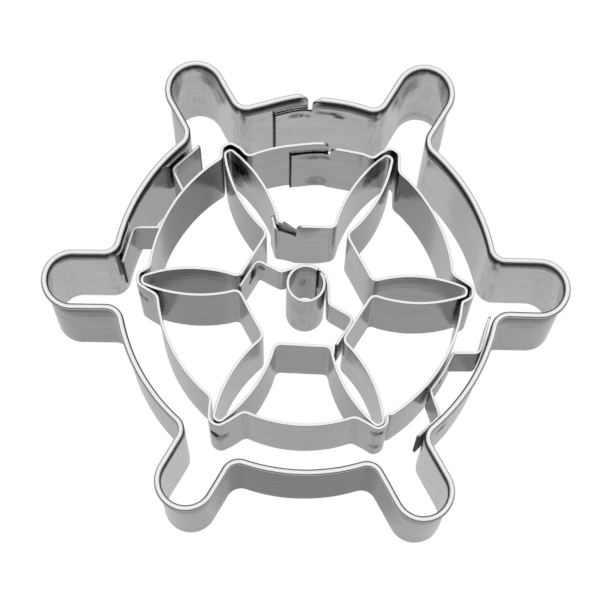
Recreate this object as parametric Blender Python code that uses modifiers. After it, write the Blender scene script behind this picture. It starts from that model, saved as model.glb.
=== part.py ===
"""Embossing cookie cutter in the shape of a ship's wheel.

Seven strips of thin stainless sheet stand on edge and are spot-welded to each other. The outer
band cuts the dough and has a rolled rim to press on. The ring, the spokes and the tube at the
centre stop short of the table, so they emboss. Three bent straps carry the inner strips.
Z = 0 is the table, +Z points to the rolled rim, and the footprint is centred on the origin.
"""
import math

import bmesh
import bpy
from mathutils import Matrix, Vector

MM = 0.001

# Sheet that every strip is cut from, and the gap kept between two layers that are welded.
SHEET = 0.4 * MM
WELD_GAP = 0.2 * MM
CHORD_ERROR = 0.03 * MM

# Spokes, bumps and handles are counted clockwise from the upper right one, and lean in degrees.
FIRST_SPOKE = 60.0
SPOKE_LEAN = [-1.05, -1.15, -1.6, -1.7, -1.0, 0.35]
HANDLE_LEAN = [-0.06, -0.26, -0.45, 0.56, 0.30, -0.09]

# A seam is a lap on the top arc: the angles of the tongue's end, the outer layer's end and the
# tongue's root, and the angle over which the tongue dives under the outer layer.
BAND_SEAM = (101.0, 90.3, 88.9)
RING_SEAM = (97.5, 82.0, 80.9)
SEAM_RUN = 16.0
SEAM_STEP = 2.5

# Outer cutting band. Each arc between two handles has its own radius, as bent.
BAND_HEIGHT = 22.0 * MM
RIM_RADIUS = 0.5 * MM
RIM_OVERHANG = 0.28 * MM
HANDLE_REACH = 37.22 * MM
HANDLE_HALF_WIDTH = 3.69 * MM
HANDLE_FOOT_RADIUS = 2.45 * MM
HANDLE_STRETCH = [0.06 * MM, -0.14 * MM, 0.70 * MM, -0.36 * MM, -0.12 * MM, -0.13 * MM]
FELLOE_RADII = [26.77 * MM, 27.27 * MM, 27.20 * MM, 26.67 * MM, 27.27 * MM, 27.45 * MM]
BAND_TONGUE_TOP = 18.0 * MM
BAND_SEAM_DROP = 0.7 * MM

# Ring inside the band, with a bump at each spoke. The bumps are turned, stretched a little
# against each other, as bent.
RING_TOP = 21.1 * MM
RING_RADII = [21.10 * MM, 22.55 * MM, 20.55 * MM, 21.30 * MM, 22.55 * MM, 20.80 * MM]
RING_TONGUE_TOP = 17.6 * MM
RING_SEAM_DROP = 0.45 * MM
RING_SPREAD = [(0.0, 0.5 * MM), (0.5 * MM, 0.0)] + [(0.0, 0.0)] * 4
BUMP_REACH = 23.95 * MM
BUMP_TURN = [-0.75, -0.5, 0.0, 0.0, 0.0, -0.35]
BUMP_STRETCH = [0.0, 0.0, -0.5 * MM, 0.2 * MM, 0.15 * MM, 0.0]
BUMP_TIP_HALF = 0.75 * MM
BUMP_TIP_RADIUS = 1.0 * MM
BUMP_WAIST_HALF = 1.6 * MM
BUMP_WAIST_DROP = 1.45 * MM
BUMP_FOOT_HALF = 1.34 * MM
BUMP_FOOT_PINCH = [(0.4 * MM, 0.0)] + [(0.0, 0.0)] * 4 + [(0.0, 0.6 * MM)]
BUMP_FLARE = 0.4
BUMP_FOOT_RADIUS = 1.5 * MM
BUMP_MARGIN = 4.0

# Spoke band: six petals on the corners of a hexagonal hub.
SPOKE_TOP = 20.4 * MM
HUB_CORNER = 9.6 * MM
PETAL_FOOT_HALF = 1.0 * MM
PETAL_FOOT_RADIUS = 1.0 * MM
PETAL_TIP_HALF = 0.55 * MM
PETAL_SHORT = [0.4 * MM, 0.3 * MM, 0.0, 0.2 * MM, 0.0, 0.15 * MM]
PETAL_BULGE = 1.2 * MM

# The spoke band's ends lap on the hub's far side. The tongue starts up the last petal's wall and
# falls towards its root, and the flap that lies behind it is cut off at a slant.
SPOKE_TONGUE_TOP = 18.2 * MM
SPOKE_TONGUE_FALL = 2.5 * MM
SPOKE_TONGUE_FALL_RUN = 2.8 * MM
SPOKE_TONGUE_RISE = 2.4 * MM
SPOKE_SHOULDER_X = -1.45 * MM
SPOKE_FLAP_X = -1.0 * MM
SPOKE_FLAP_CUT = 2.4 * MM
SPOKE_FLAP_DROP = 5.2 * MM

# Tube at the centre, rolled from a strip and left open by a slit.
TUBE_CENTRE = Vector((0.02 * MM, 0.31 * MM))
TUBE_RADIUS = 2.62 * MM
TUBE_SLIT = 0.4 * MM
TUBE_SLIT_ANGLE = 45.0

# Strap that holds the tube across the hub, from a tab on one hub side to one on the far side.
HUB_STRAP_BOTTOM = 9.1 * MM
HUB_STRAP_HEIGHT = 9.5 * MM
HUB_STRAP_TAB = 4.75 * MM
HUB_STRAP_NECK = 4.2 * MM
HUB_STRAP_NECK_ANGLES = (150.0, -37.0)
HUB_STRAP_BEND = 0.8 * MM

# Straps between the ring and the cutting band, one on the left and one turned half a turn.
SIDE_STRAP_BOTTOM = 7.0 * MM
SIDE_STRAP_HEIGHT = 11.0 * MM
SIDE_STRAP_BEND = 0.8 * MM
SIDE_STRAP_TAB_ENDS = [(172.5, 126.5), (172.5, 127.4)]
SIDE_STRAP_BAND_BENDS = [(160.5, 138.0), (160.5, 136.8)]
SIDE_STRAP_RING_BENDS = (157.2, 141.3)
SIDE_STRAP_TAB_FLARE = 0.15 * MM

# The inner strips stop this far above the table, and strip ends have this corner radius.
EMBOSS_DEPTH = 3.0 * MM
END_CORNER = 1.2 * MM
NOTCH_SLANT = 0.1 * MM

LAP = SHEET + WELD_GAP
SPOKE_COUNT = len(SPOKE_LEAN)
SPOKE_STEP = 360.0 / SPOKE_COUNT
LAST_SPOKE = SPOKE_COUNT - 1
ORIGIN = Vector((0.0, 0.0))


def polar(radius, degrees, centre=ORIGIN):
    """Point at a radius and an angle from a centre."""
    angle = math.radians(degrees)
    return centre + radius * Vector((math.cos(angle), math.sin(angle)))


def arc(radius, start, end, centre=ORIGIN):
    """Points along an arc, close enough that no facet misses the curve by CHORD_ERROR."""
    step = 2.0 * math.degrees(math.acos(max(0.0, 1.0 - CHORD_ERROR / radius)))
    count = max(1, math.ceil(abs(end - start) / step))
    return [polar(radius, start + (end - start) * i / count, centre) for i in range(count + 1)]


def spread_arc(radius, spread, start, end):
    """Points along an arc round the axle that is wider by the two spreads at its two ends."""
    points = arc(radius, start, end)
    shares = [i / (len(points) - 1) for i in range(len(points))]
    wider = [spread[0] * (1.0 - share) ** 2 + spread[1] * share ** 2 for share in shares]
    return [point * (1.0 + more / radius) for point, more in zip(points, wider)]


def place(points, degrees):
    """Turn points given along and across an axis to that axis's angle."""
    turn = Matrix.Rotation(math.radians(degrees), 2)
    return [turn @ Vector(point) for point in points]


def round_corners(corners):
    """Centre line through (point, radius) corners, each rounded as far as its sides allow."""
    points = [corners[0][0]]
    for i in range(1, len(corners) - 1):
        corner, radius = corners[i]
        back = corners[i - 1][0] - corner
        ahead = corners[i + 1][0] - corner
        turn = math.pi - back.angle(ahead)
        if radius <= 0.0 or turn < math.radians(2.0):
            points.append(corner)
            continue
        reach = min(radius * math.tan(turn / 2.0), 0.45 * back.length, 0.45 * ahead.length)
        radius = reach / math.tan(turn / 2.0)
        middle = (back.normalized() + ahead.normalized()).normalized()
        centre = corner + middle * (radius / math.cos(turn / 2.0))
        first = corner + back.normalized() * reach - centre
        last = corner + ahead.normalized() * reach - centre
        start = math.degrees(math.atan2(first.y, first.x))
        sweep = math.degrees(last.angle_signed(first))
        points += arc(radius, start, start + sweep, centre)
    points.append(corners[-1][0])
    return points


def plain(points):
    """Corners without rounding."""
    return [(point, 0.0) for point in points]


def offset(points, distance):
    """Move a line sideways to its left, with its corners mitred."""
    moved = []
    for i, point in enumerate(points):
        normal, stretch = mitre(points, i)
        moved.append(point + normal * stretch * distance)
    return moved


def mitre(points, i):
    """Left normal of a line at point i, and how much longer the corner's diagonal is."""
    ahead = (points[min(i + 1, len(points) - 1)] - points[min(i, len(points) - 2)]).normalized()
    back = (points[max(i, 1)] - points[max(i - 1, 0)]).normalized()
    along = (ahead + back).normalized()
    return Vector((-along.y, along.x)), 1.0 / max(0.5, along.dot(ahead))


def add_stations(points, distances):
    """Insert points at the given distances along a line, and return all points and distances."""
    line = [(0.0, points[0])]
    for before, after in zip(points, points[1:]):
        line.append((line[-1][0] + (after - before).length, after))
    for distance in distances:
        for i in range(len(line) - 1):
            low, high = line[i][0], line[i + 1][0]
            if low + CHORD_ERROR < distance < high - CHORD_ERROR:
                share = (distance - low) / (high - low)
                line.insert(i + 1, (distance, line[i][1].lerp(line[i + 1][1], share)))
                break
    return [point for _, point in line], [distance for distance, _ in line]


def length_of(points):
    """Length of a line."""
    return sum((after - before).length for before, after in zip(points, points[1:]))


def rounded_end(distance, top):
    """Height of the top edge at a distance from a strip's end, with the end's corner rounded."""
    short = max(0.0, END_CORNER - distance)
    return top - END_CORNER + math.sqrt(max(0.0, END_CORNER ** 2 - short ** 2))


def lapped_top(distance, length, tongue, top, tongue_top):
    """Height of the top edge of a band that starts with a lower tongue, at a distance along it."""
    if distance < tongue - NOTCH_SLANT / 2.0:
        return rounded_end(distance, tongue_top)
    return min(rounded_end(distance - tongue, top), rounded_end(length - distance, top))


def corner_stations(length, tongue):
    """Distances that need a point: the rounded corners at both ends and at the tongue's root."""
    shares = (0.1, 0.35, 0.7, 1.0)
    starts = [END_CORNER * share for share in shares]
    ends = [length - END_CORNER * share for share in shares]
    root = [tongue + END_CORNER * share for share in shares]
    return starts + ends + root + [tongue - NOTCH_SLANT, tongue]


def make_material(name, colour, roughness):
    """Bare stainless steel of one shade."""
    material = bpy.data.materials.new(name)
    material.use_nodes = True
    shader = material.node_tree.nodes["Principled BSDF"]
    shader.inputs["Base Color"].default_value = (*colour, 1.0)
    shader.inputs["Metallic"].default_value = 1.0
    shader.inputs["Roughness"].default_value = roughness
    return material


def add_object(name, mesh, material):
    """Put a mesh in the scene as one named piece, smooth along its bends."""
    piece = bpy.data.objects.new(name, mesh)
    collection.objects.link(piece)
    piece.parent = wheel
    mesh.materials.append(material)
    return piece


def shade(piece):
    """Smooth the bends of a finished piece and keep its edges sharp."""
    depsgraph = bpy.context.evaluated_depsgraph_get()
    mesh = bpy.data.meshes.new_from_object(piece.evaluated_get(depsgraph))
    piece.modifiers.clear()
    piece.data = mesh
    mesh.shade_smooth()
    mesh.set_sharp_from_angle(angle=math.radians(35.0))


def stand_strip(name, points, bottom, tops, material):
    """Strip on edge: its centre line is raised to a wall, and the wall gets the sheet's thickness."""
    builder = bmesh.new()
    lower = [builder.verts.new((point.x, point.y, bottom)) for point in points]
    for before, after in zip(lower, lower[1:]):
        builder.edges.new((before, after))
    raised = bmesh.ops.extrude_edge_only(builder, edges=builder.edges[:])["geom"]
    heights = dict(zip(lower, tops))
    for vert in [item for item in raised if isinstance(item, bmesh.types.BMVert)]:
        neighbours = [edge.other_vert(vert) for edge in vert.link_edges]
        vert.co.z = next(heights[other] for other in neighbours if other in heights)
    mesh = bpy.data.meshes.new(name)
    builder.to_mesh(mesh)
    builder.free()
    piece = add_object(name, mesh, material)
    skin = piece.modifiers.new("sheet", "SOLIDIFY")
    skin.thickness = SHEET
    skin.offset = 0.0
    skin.use_even_offset = True
    shade(piece)


def spoke_angle(k):
    """Angle of spoke k, counted clockwise from the upper right one."""
    return FIRST_SPOKE - SPOKE_STEP * k + SPOKE_LEAN[k]


def handle_angle(k):
    """Angle of handle k, counted clockwise from the upper right one."""
    return FIRST_SPOKE - SPOKE_STEP * k + HANDLE_LEAN[k]


def seam_radius(radius, drop, seam, angle):
    """Radius of the tongue at an angle: it leaves the round and dives under the other end."""
    return radius - drop * min(1.0, max(0.0, (angle - seam[2]) / SEAM_RUN))


def seam_after(radius, drop):
    """Radius of the round where the outer layer of the seam has come down to it."""
    return radius + LAP - drop


def seam_arc(radius, drop, seam, start, end, layer):
    """Points of one layer of a seam between two angles, clockwise."""
    count = max(2, math.ceil((start - end) / SEAM_STEP))
    angles = [start + (end - start) * i / count for i in range(count + 1)]
    return [polar(seam_radius(radius, drop, seam, angle) + layer, angle) for angle in angles]


def handle_line(k, before, after):
    """Line round one handle: foot, side, round end, side, foot. Also the angles where it ends."""
    reach = HANDLE_REACH + HANDLE_STRETCH[k]
    across = HANDLE_HALF_WIDTH + HANDLE_FOOT_RADIUS
    feet = []
    for radius in (before, after):
        along = math.sqrt((radius + HANDLE_FOOT_RADIUS) ** 2 - across ** 2)
        feet.append((along, math.degrees(math.atan2(across, along))))
    (along_in, spread_in), (along_out, spread_out) = feet
    line = arc(HANDLE_FOOT_RADIUS, spread_in - 180.0, -90.0, Vector((along_in, across)))
    line += arc(HANDLE_HALF_WIDTH, 90.0, -90.0, Vector((reach - HANDLE_HALF_WIDTH, 0.0)))
    line += arc(HANDLE_FOOT_RADIUS, 90.0, 180.0 - spread_out, Vector((along_out, -across)))
    axis = handle_angle(k)
    return place(line, axis), axis + spread_in, axis - spread_out


def band_line():
    """Centre line of the cutting band, clockwise from the tongue's end, and the tongue's length."""
    radius = FELLOE_RADII[-1]
    after_seam = seam_after(radius, BAND_SEAM_DROP)
    tongue_end, outer_end, shoulder = BAND_SEAM
    tongue = seam_arc(radius, BAND_SEAM_DROP, BAND_SEAM, tongue_end, shoulder, 0.0)
    line = list(tongue)
    leaving = shoulder
    for k in range(SPOKE_COUNT):
        after = after_seam if k == LAST_SPOKE else FELLOE_RADII[k]
        handle, arriving, left_at = handle_line(k, FELLOE_RADII[k - 1], after)
        line += arc(FELLOE_RADII[k - 1], leaving, arriving)[1:-1]
        line += handle
        leaving = left_at
    line += seam_arc(radius, BAND_SEAM_DROP, BAND_SEAM, leaving + 360.0, outer_end, LAP)[1:]
    return line, length_of(tongue)


def rim_section(top, rolled):
    """Cross-section of the band, as (across, height) points: rolled 0 is a plain edge, 1 the full rim."""
    half = SHEET / 2.0
    radius = half + (RIM_RADIUS - half) * rolled
    out = RIM_OVERHANG * rolled
    start = -math.acos(max(-1.0, min(1.0, (half - out) / radius)))
    end = 2.0 * math.pi - math.acos(max(-1.0, min(1.0, (-half - out) / radius)))
    count = 8
    section = [(-half, 0.0), (half, 0.0)]
    for i in range(count + 1):
        angle = start + (end - start) * i / count
        section.append((out + radius * math.cos(angle), top - radius + radius * math.sin(angle)))
    return section


def build_cutting_band():
    """Outer band: a loft, because its section changes from plain tongue to rolled rim."""
    line, tongue = band_line()
    length = length_of(line)
    points, distances = add_stations(line, corner_stations(length, tongue))
    builder = bmesh.new()
    loops = []
    for i, (point, distance) in enumerate(zip(points, distances)):
        top = lapped_top(distance, length, tongue, BAND_HEIGHT, BAND_TONGUE_TOP)
        from_end = min(distance - tongue, length - distance)
        rolled = min(1.0, max(0.0, from_end / END_CORNER))
        normal, stretch = mitre(points, i)
        loop = []
        for across, height in rim_section(top, rolled):
            corner = point + normal * across * stretch
            loop.append(builder.verts.new((corner.x, corner.y, height)))
        loops.append(loop)
    for before, after in zip(loops, loops[1:]):
        for i in range(len(before)):
            j = (i + 1) % len(before)
            builder.faces.new((before[i], after[i], after[j], before[j]))
    builder.faces.new(loops[0])
    builder.faces.new(reversed(loops[-1]))
    bmesh.ops.recalc_face_normals(builder, faces=builder.faces[:])
    mesh = bpy.data.meshes.new("outer_cutting_band")
    builder.to_mesh(mesh)
    builder.free()
    material = make_material("band_steel", (0.60, 0.60, 0.60), 0.30)
    shade(add_object("outer_cutting_band", mesh, material))
    return line


def bump_corners(k, before, after):
    """Corners of the ring's bump at spoke k, clockwise, with the arcs' ends as its feet."""
    reach = BUMP_REACH + BUMP_STRETCH[k]
    waist = reach - BUMP_WAIST_DROP
    foot = []
    for radius, pinch in zip((before, after), BUMP_FOOT_PINCH[k]):
        half = BUMP_FOOT_HALF - BUMP_FLARE * (radius - BUMP_REACH) - pinch
        foot.append((math.sqrt(radius ** 2 - half ** 2), half))
    shape = [
        (foot[0][0], foot[0][1]),
        (waist, BUMP_WAIST_HALF),
        (reach, BUMP_TIP_HALF),
        (reach, -BUMP_TIP_HALF),
        (waist, -BUMP_WAIST_HALF),
        (foot[1][0], -foot[1][1]),
    ]
    radii = [BUMP_FOOT_RADIUS] * 2 + [BUMP_TIP_RADIUS] * 2 + [BUMP_FOOT_RADIUS] * 2
    spread = [math.degrees(math.atan2(half, along)) for along, half in foot]
    axis = spoke_angle(k) + BUMP_TURN[k]
    return list(zip(place(shape, axis), radii)), axis + spread[0], axis - spread[1]


def ring_line():
    """Centre line of the ring, clockwise from the tongue's end, and the tongue's length."""
    radius = RING_RADII[-1]
    tongue_end, outer_end, shoulder = RING_SEAM
    tongue = seam_arc(radius, RING_SEAM_DROP, RING_SEAM, tongue_end, shoulder, 0.0)
    corners = plain(tongue)
    leaving = shoulder
    for k in range(SPOKE_COUNT):
        if k == LAST_SPOKE:
            after = seam_after(radius, RING_SEAM_DROP)
        else:
            after = RING_RADII[k] + RING_SPREAD[k + 1][0]
        bump, arriving, left_at = bump_corners(k, RING_RADII[k - 1] + RING_SPREAD[k][1], after)
        start = leaving if k == 0 else leaving - BUMP_MARGIN
        run = spread_arc(RING_RADII[k - 1], RING_SPREAD[k], start, arriving + BUMP_MARGIN)
        corners += plain(run[0 if k else 1:])
        corners += bump
        leaving = left_at
    start = leaving + 360.0 - BUMP_MARGIN
    corners += plain(seam_arc(radius, RING_SEAM_DROP, RING_SEAM, start, outer_end, LAP))
    return round_corners(corners), length_of(tongue)


def build_ring():
    """Ring that embosses the wheel's felloe, from the emboss depth to its top."""
    line, tongue = ring_line()
    length = length_of(line)
    points, distances = add_stations(line, corner_stations(length, tongue))
    tops = [lapped_top(distance, length, tongue, RING_TOP, RING_TONGUE_TOP) for distance in distances]
    material = make_material("ring_steel", (0.57, 0.57, 0.58), 0.32)
    stand_strip("inner_ring_band", points, EMBOSS_DEPTH, tops, material)


def petal_foot(k, side):
    """Corner where a petal leaves the hub. side is 1 for the petal's left wall and -1 for its right."""
    return place([(HUB_CORNER, side * PETAL_FOOT_HALF)], spoke_angle(k))[0]


def petal_reach(k):
    """How far a petal's centre line reaches from the wheel's centre, LAP or more inside its bump."""
    return BUMP_REACH + BUMP_STRETCH[k] - LAP - PETAL_SHORT[k]


def petal_wall(k, side, shares):
    """Points up one wall of a petal, at shares of its length from foot to tip."""
    reach = petal_reach(k)
    points = []
    for share in shares:
        taper = PETAL_FOOT_HALF * (1.0 - share) + PETAL_TIP_HALF * share
        half = taper + PETAL_BULGE * 4.0 * share * (1.0 - share)
        points.append((HUB_CORNER + (reach - HUB_CORNER) * share, side * half))
    return place(points, spoke_angle(k))


def petal_corners(k):
    """Corners of petal k, clockwise: foot, wall, tip, wall, foot."""
    shares = [i / 8.0 for i in range(1, 8)]
    reach = petal_reach(k)
    tip = place([(reach, PETAL_TIP_HALF), (reach, -PETAL_TIP_HALF)], spoke_angle(k))
    corners = [(petal_foot(k, 1), PETAL_FOOT_RADIUS)]
    corners += plain(petal_wall(k, 1, shares))
    corners += [(point, PETAL_TIP_HALF) for point in tip]
    corners += plain(petal_wall(k, -1, shares[::-1]))
    corners.append((petal_foot(k, -1), PETAL_FOOT_RADIUS))
    return corners


def spoke_line():
    """Centre line of the spoke band, clockwise from the tongue's end, and the tongue's length.

    The tongue lies in the hub side's own line and LAP inside the petal's wall. The flap comes down
    in the wall's line and lies LAP outside the hub side.
    """
    foot = petal_foot(LAST_SPOKE, -1)
    along = (petal_foot(0, 1) - foot).normalized()
    outward = Vector((-along.y, along.x))
    rise = SPOKE_TONGUE_RISE / (petal_reach(LAST_SPOKE) - HUB_CORNER)
    wall = petal_wall(LAST_SPOKE, -1, [rise, rise / 2.0])
    down = (foot - wall[-1]).normalized()
    beside = Vector((-down.y, down.x))
    tongue_foot = foot - along * (LAP / along.dot(beside))
    flap_foot = foot + down * (LAP / down.dot(outward))
    shoulder = foot + along * ((SPOKE_SHOULDER_X - foot.x) / along.x)
    flap_end = flap_foot + along * ((SPOKE_FLAP_X - flap_foot.x) / along.x)
    corners = plain(offset(wall, -LAP)) + [(tongue_foot, PETAL_FOOT_RADIUS), (shoulder, 0.0)]
    tongue = length_of(round_corners(corners))
    for k in range(SPOKE_COUNT):
        corners += petal_corners(k)
    corners[-1] = (flap_foot, PETAL_FOOT_RADIUS)
    corners.append((flap_end, 0.0))
    return round_corners(corners), tongue


def spoke_top(distance, length, tongue):
    """Height of the spoke band's top edge at a distance along it."""
    top = lapped_top(distance, length, tongue, SPOKE_TOP, SPOKE_TONGUE_TOP)
    if distance < tongue - NOTCH_SLANT / 2.0:
        share = 1.0 - (tongue - distance) / SPOKE_TONGUE_FALL_RUN
        return top - SPOKE_TONGUE_FALL * max(0.0, share)
    share = 1.0 - (length - distance) / SPOKE_FLAP_CUT
    return min(top, SPOKE_TOP - SPOKE_FLAP_DROP * max(0.0, share))


def build_spokes():
    """Spokes and hub, bent from one strip."""
    line, tongue = spoke_line()
    length = length_of(line)
    stations = corner_stations(length, tongue) + [tongue - SPOKE_TONGUE_FALL_RUN, length - SPOKE_FLAP_CUT]
    points, distances = add_stations(line, stations)
    tops = [spoke_top(distance, length, tongue) for distance in distances]
    material = make_material("spoke_steel", (0.58, 0.58, 0.58), 0.31)
    stand_strip("spoke_band", points, EMBOSS_DEPTH, tops, material)


def build_tube():
    """Open tube at the centre, for the axle."""
    slit = math.degrees(TUBE_SLIT / TUBE_RADIUS)
    line = arc(TUBE_RADIUS, TUBE_SLIT_ANGLE - slit / 2.0, TUBE_SLIT_ANGLE + slit / 2.0 - 360.0, TUBE_CENTRE)
    material = make_material("tube_steel", (0.55, 0.54, 0.53), 0.34)
    stand_strip("centre_tube", line, EMBOSS_DEPTH, [SPOKE_TOP] * len(line), material)


def hub_side(k):
    """Middle and clockwise direction of the line LAP inside the hub side after petal k."""
    start = petal_foot(k, -1)
    end = petal_foot((k + 1) % SPOKE_COUNT, 1)
    start, end = offset([start, end], -LAP)
    return (start + end) / 2.0, (end - start).normalized()


def build_hub_strap():
    """Strap from one hub side, round the tube, to the opposite hub side."""
    start_bend, start_along = hub_side(4)
    end_bend, end_along = hub_side(1)
    loop_radius = TUBE_RADIUS + LAP
    spread = math.degrees(math.acos(min(1.0, loop_radius / HUB_STRAP_NECK)))
    neck_in, neck_out = HUB_STRAP_NECK_ANGLES
    corners = [
        (start_bend - start_along * HUB_STRAP_TAB, 0.0),
        (start_bend, HUB_STRAP_BEND),
        (polar(HUB_STRAP_NECK, neck_in, TUBE_CENTRE), HUB_STRAP_BEND),
    ]
    corners += plain(arc(loop_radius, neck_in - spread, neck_out + spread, TUBE_CENTRE))
    corners += [
        (polar(HUB_STRAP_NECK, neck_out, TUBE_CENTRE), HUB_STRAP_BEND),
        (end_bend, HUB_STRAP_BEND),
        (end_bend + end_along * HUB_STRAP_TAB, 0.0),
    ]
    line = round_corners(corners)
    material = make_material("hub_strap_steel", (0.50, 0.50, 0.51), 0.36)
    tops = [HUB_STRAP_BOTTOM + HUB_STRAP_HEIGHT] * len(line)
    stand_strip("hub_bridge_strap", line, HUB_STRAP_BOTTOM, tops, material)


def build_side_strap(name, number, k, turn):
    """Strap from the band to the ring and back, in the sector after handle k."""
    on_band = FELLOE_RADII[k] - LAP
    on_ring = RING_RADII[k] + LAP
    first_tab, last_tab = SIDE_STRAP_TAB_ENDS[number]
    first_bend, last_bend = SIDE_STRAP_BAND_BENDS[number]
    corners = [
        (polar(on_band + SIDE_STRAP_TAB_FLARE, first_tab + turn), 0.0),
        (polar(on_band, first_bend + turn), SIDE_STRAP_BEND),
    ]
    ring_arc = arc(on_ring, SIDE_STRAP_RING_BENDS[0] + turn, SIDE_STRAP_RING_BENDS[1] + turn)
    corners.append((ring_arc[0], SIDE_STRAP_BEND))
    corners += plain(ring_arc[1:-1])
    corners.append((ring_arc[-1], SIDE_STRAP_BEND))
    corners += [
        (polar(on_band, last_bend + turn), SIDE_STRAP_BEND),
        (polar(on_band + SIDE_STRAP_TAB_FLARE, last_tab + turn), 0.0),
    ]
    line = round_corners(corners)
    material = make_material(name + "_steel", (0.52, 0.52, 0.53), 0.35)
    tops = [SIDE_STRAP_BOTTOM + SIDE_STRAP_HEIGHT] * len(line)
    stand_strip(name, line, SIDE_STRAP_BOTTOM, tops, material)


for old in list(bpy.data.objects):
    bpy.data.objects.remove(old, do_unlink=True)

collection = bpy.data.collections.new("embossing_cookie_cutter")
bpy.context.scene.collection.children.link(collection)
wheel = bpy.data.objects.new("wheel_centre", None)
collection.objects.link(wheel)

outline = build_cutting_band()
build_ring()
build_spokes()
build_tube()
build_hub_strap()
build_side_strap("left_bridge_strap", 0, 4, 0.0)
build_side_strap("right_bridge_strap", 1, 1, 180.0)

# The rim reaches equally far beyond the centre line on every side, so this centres the footprint.
xs = [point.x for point in outline]
ys = [point.y for point in outline]
wheel.location = (-(min(xs) + max(xs)) / 2.0, -(min(ys) + max(ys)) / 2.0, 0.0)
bpy.context.view_layer.update()
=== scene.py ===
"""Ship's wheel cookie cutter of bent steel strips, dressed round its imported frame.

Lengths are in millimetres and angles in degrees until a mesh is made. The plan is drawn in complex
numbers, x + iy, about the wheel's axle. Every strip is a cross-section carried along a centre line,
so each surface is a function of two parameters: distance along the strip, and place round its section.
"""

import bpy
import numpy as np
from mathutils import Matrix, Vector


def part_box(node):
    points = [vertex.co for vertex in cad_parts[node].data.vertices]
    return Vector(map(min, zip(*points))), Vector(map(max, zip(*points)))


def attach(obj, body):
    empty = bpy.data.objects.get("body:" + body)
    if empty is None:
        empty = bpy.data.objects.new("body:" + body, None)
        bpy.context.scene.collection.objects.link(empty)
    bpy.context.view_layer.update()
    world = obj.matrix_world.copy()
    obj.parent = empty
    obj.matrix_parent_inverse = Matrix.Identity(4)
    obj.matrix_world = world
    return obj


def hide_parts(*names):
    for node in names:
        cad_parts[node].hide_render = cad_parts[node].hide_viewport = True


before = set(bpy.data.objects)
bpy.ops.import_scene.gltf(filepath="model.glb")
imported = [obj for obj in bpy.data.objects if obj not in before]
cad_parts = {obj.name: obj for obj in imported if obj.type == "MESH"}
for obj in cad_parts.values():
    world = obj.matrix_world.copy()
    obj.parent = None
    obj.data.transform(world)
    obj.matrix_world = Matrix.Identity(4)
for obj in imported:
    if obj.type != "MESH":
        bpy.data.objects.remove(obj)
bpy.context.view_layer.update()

# Outer cutting band: one strip of thin stainless sheet on edge. Its upper edge is rolled outwards
# into a bead that the hand presses on, and it is bent round six handles and six arcs. The ends lap
# on the top arc, where the under one is a lower tongue without the bead, and are spot-welded.
MM = 0.001
SHEET = 0.4
WELD_GAP = 0.2
LAP = SHEET + WELD_GAP
SPOKES = 6
FIRST_SPOKE = 60.0
HANDLE_LEAN = [-0.06, -0.26, -0.45, 0.56, 0.30, -0.09]
HANDLE_STRETCH = [0.06, -0.14, 0.70, -0.36, -0.12, -0.13]
HANDLE_REACH = 37.22
HANDLE_HALF_WIDTH = 3.69
HANDLE_FOOT = 2.45
FELLOE_RADII = [26.77, 27.27, 27.20, 26.67, 27.27, 27.45]
BAND_SEAM = (101.0, 90.3, 88.9)
BAND_SEAM_DROP = 0.7
SEAM_RUN = 16.0
BAND_HEIGHT = 22.0
BAND_TONGUE_TOP = 18.0
BEAD_RADIUS = 0.5
BEAD_CREST = 0.45
BEAD_OUTER = 0.33
BEAD_SLIT = (0.05, 0.3)
BEAD_ROLL = (0.3, 1.5)
BEAD_LEAST = 0.004
NECK_BOW = 0.16
NECK_DROPS = (2.1, 0.8)
NECK_START = 0.4
NECK_MARGIN = 0.01
CREASE_DEPTH = 0.03
CREASE_DROP = 2.6
CREASE_WIDTH = 0.35
END_CORNER = 1.2
END_CORNER_SHARES = [0.03, 0.1, 0.2, 0.35, 0.5, 0.7, 0.85, 1.0]
TONGUE_CORNER = 0.25
TONGUE_PRESS = 0.16
NOTCH_SLANT = 0.1
EDGE_ROUND = 0.06
RIPPLE = 0.02
STATION = 0.34
NEAREST_STATIONS = 0.01
WALL_ROWS = [(0.03, 0.86, 20), (0.88, 0.995, 12)]
BEAD_ROWS = 29
CORNER_ROWS = 4
SHARP_ANGLE = 38.0
WELD_DENT = 0.06
# Painted shade: under the bead's neck on the inner side, on its outer flank, and on the outer wall under
# it.
NECK_SHADE = 0.9
NECK_FADE = (0.12, 0.42)
FLANK_SHADE = 0.7
FLANK_FADE = (0.2, 0.42)
# How much the painted highlight is dimmed on the bead's outer flank.
FLANK_HIGHLIGHT_DIMMING = 0.8
UNDER_SHADE = 0.5
UNDER_DROPS = (7.0, 3.2)
# Painted shade along the foot edge, at cut ends, and at the tongue's end in the seam's gap.
FOOT_SHADE = 0.7
CUT_SHADE = 0.9
CUT_REACH = 0.03
TONGUE_END_SHADE = (0.35, 0.2)
LEDGE_DEPTH = 0.12
LEDGE_FADE = 0.2
# Painted reflection: how curvature turns into darker streaks at bends.
BEND_REFLECTION_CURVE = (2.5, 0.35)
GRAIN_TONES = (0.84, 1.16)
# Tones of the layers: the bend streaks are painted reflection, the deepest tone is painted shade and the
# paler matt patch is painted light; stain and smudge are the sheet's own marks. The tints lower grazing
# reflection for duller places, painted shade and smudges.
TONES = {"stain": 0.86, "bend": 0.45, "matt_painted_light": 1.9, "painted_shade": 0.12, "smudge": 0.3}
SHARES = {"stain": 0.4, "bend": 0.6, "smudge": 0.75}
TINTS = {"dull_and_shade": 0.66, "painted_shade": 0.3, "smudge": 0.3}
# Darker grey of duller places, partly a duller finish and partly painted shade.
DULL_AND_SHADE_GREY = 0.35
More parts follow.
